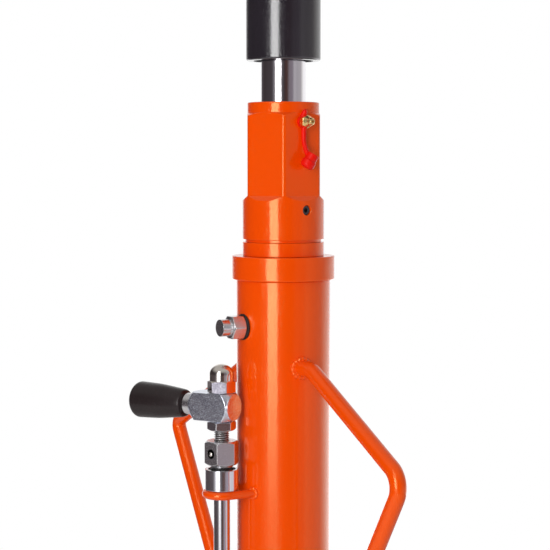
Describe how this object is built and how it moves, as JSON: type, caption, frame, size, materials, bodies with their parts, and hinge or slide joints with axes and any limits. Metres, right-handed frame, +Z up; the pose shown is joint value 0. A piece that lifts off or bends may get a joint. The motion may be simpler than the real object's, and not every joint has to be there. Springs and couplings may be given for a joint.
{
  "type": "transmission jack",
  "caption": "Upright hydraulic gearbox lifting jack: column with ram and clawed saddle, foot pump, hand release lever, side handles and castor base",
  "frame": {"origin": "On the floor, under the column's axis, in the middle of the four castors.", "axes": "+Z is up the column. The foot pump and the release rod are on the -Y side, where the user stands. The two handles point along +X and -X."},
  "size_m": [0.5384, 0.5384, 1.1694],
  "materials": {
    "orange_paint": "glossy orange enamel",
    "black_paint": "gloss black",
    "chrome": "polished hard chrome",
    "zinc_steel": "bright zinc plate, machined",
    "brass": "bright machined brass",
    "red_plastic": "soft moulded plastic",
    "rubber": "black moulded rubber",
    "knob_plastic": "satin black",
    "nylon": "dark grey moulded nylon"
  },
  "bodies": {
    "column": {"base_block": "orange_paint", "bleed_nipple": "brass", "castor_1_bolt": "zinc_steel", "castor_2_bolt": "zinc_steel", "castor_3_bolt": "zinc_steel", "castor_4_bolt": "zinc_steel", "check_valve_plug_left": "zinc_steel", "check_valve_plug_right": "zinc_steel", "filler_plug": "zinc_steel", "filler_washer": "rubber", "gland_nut": "orange_paint", "gland_set_screw": "black_paint", "gland_wiper_seal": "rubber", "guide_bush": "zinc_steel", "guide_loop": "orange_paint", "guide_seal_ring": "rubber", "handle_left": "orange_paint", "handle_right": "orange_paint", "inner_cylinder": "orange_paint", "leg_1": "orange_paint", "leg_2": "orange_paint", "leg_3": "orange_paint", "leg_4": "orange_paint", "nipple_dust_cap": "red_plastic", "pedal_pivot_pin": "zinc_steel", "pump_barrel": "zinc_steel", "pump_return_spring": "zinc_steel", "reservoir_tube": "orange_paint", "top_flange_ring": "orange_paint"},
    "ram": {"piston_rod": "chrome", "piston_head": "zinc_steel", "piston_seal": "rubber", "saddle_socket": "black_paint"},
    "saddle_head": {"saddle": "black_paint"},
    "release_control": {"release_rod": "zinc_steel", "rod_coupling": "zinc_steel", "coupling_cross_pin": "chrome", "lever_lock_nut": "zinc_steel", "lever_block": "zinc_steel", "lever_cap_nut": "chrome", "knob_ferrule": "zinc_steel", "lever_knob": "knob_plastic", "release_valve_spindle": "zinc_steel"},
    "pedal": {"pedal_lever": "black_paint", "pedal_pad": "rubber", "pedal_roller": "zinc_steel"},
    "plunger": {"pump_plunger": "zinc_steel"},
    "castor_1": {"castor_1_fork": "zinc_steel", "castor_1_axle": "zinc_steel"},
    "wheel_1": {"castor_1_wheel": "nylon"},
    "castor_2": {"castor_2_fork": "zinc_steel", "castor_2_axle": "zinc_steel"},
    "wheel_2": {"castor_2_wheel": "nylon"},
    "castor_3": {"castor_3_fork": "zinc_steel", "castor_3_axle": "zinc_steel"},
    "wheel_3": {"castor_3_wheel": "nylon"},
    "castor_4": {"castor_4_fork": "zinc_steel", "castor_4_axle": "zinc_steel"},
    "wheel_4": {"castor_4_wheel": "nylon"}
  },
  "joints": [
    {"name": "ram_lift", "type": "slide", "parent": "column", "child": "ram", "axis": [0, 0, 1], "range_m": [0, 0.69]},
    {"name": "saddle_turn", "type": "hinge", "parent": "ram", "child": "saddle_head", "pos_m": [0, 0, 1.1334], "axis": [0, 0, 1], "continuous": true},
    {"name": "release_turn", "type": "hinge", "parent": "column", "child": "release_control", "pos_m": [0, -0.0575, 0.78945], "axis": [0, 0, 1], "range_deg": [0, 90]},
    {"name": "pedal_press", "type": "hinge", "parent": "column", "child": "pedal", "pos_m": [0, -0.086, 0.21448], "axis": [1, 0, 0], "range_deg": [0, 28], "stiffness_Nm_per_rad": 8, "springref_deg": -28.65},
    {"name": "plunger_stroke", "type": "slide", "parent": "column", "child": "plunger", "axis": [0, 0, -1], "range_m": [0, 0.0255], "deforming": ["pump_return_spring"]},
    {"name": "castor_1_swivel", "type": "hinge", "parent": "column", "child": "castor_1", "pos_m": [0.21213, 0.21213, 0.108], "axis": [0, 0, 1], "continuous": true},
    {"name": "wheel_1_spin", "type": "hinge", "parent": "castor_1", "child": "wheel_1", "pos_m": [0.23335, 0.23335, 0.04], "axis": [-0.7071, 0.7071, 0], "continuous": true},
    {"name": "castor_2_swivel", "type": "hinge", "parent": "column", "child": "castor_2", "pos_m": [-0.21213, 0.21213, 0.108], "axis": [0, 0, 1], "continuous": true},
    {"name": "wheel_2_spin", "type": "hinge", "parent": "castor_2", "child": "wheel_2", "pos_m": [-0.23335, 0.23335, 0.04], "axis": [-0.7071, -0.7071, 0], "continuous": true},
    {"name": "castor_3_swivel", "type": "hinge", "parent": "column", "child": "castor_3", "pos_m": [-0.21213, -0.21213, 0.108], "axis": [0, 0, 1], "continuous": true},
    {"name": "wheel_3_spin", "type": "hinge", "parent": "castor_3", "child": "wheel_3", "pos_m": [-0.23335, -0.23335, 0.04], "axis": [0.7071, -0.7071, 0], "continuous": true},
    {"name": "castor_4_swivel", "type": "hinge", "parent": "column", "child": "castor_4", "pos_m": [0.21213, -0.21213, 0.108], "axis": [0, 0, 1], "continuous": true},
    {"name": "wheel_4_spin", "type": "hinge", "parent": "castor_4", "child": "wheel_4", "pos_m": [0.23335, -0.23335, 0.04], "axis": [0.7071, 0.7071, 0], "continuous": true}
  ],
  "couplings": [
    {"joint": "plunger_stroke", "follows": "pedal_press", "m_per_rad": 0.05204}
  ]
}
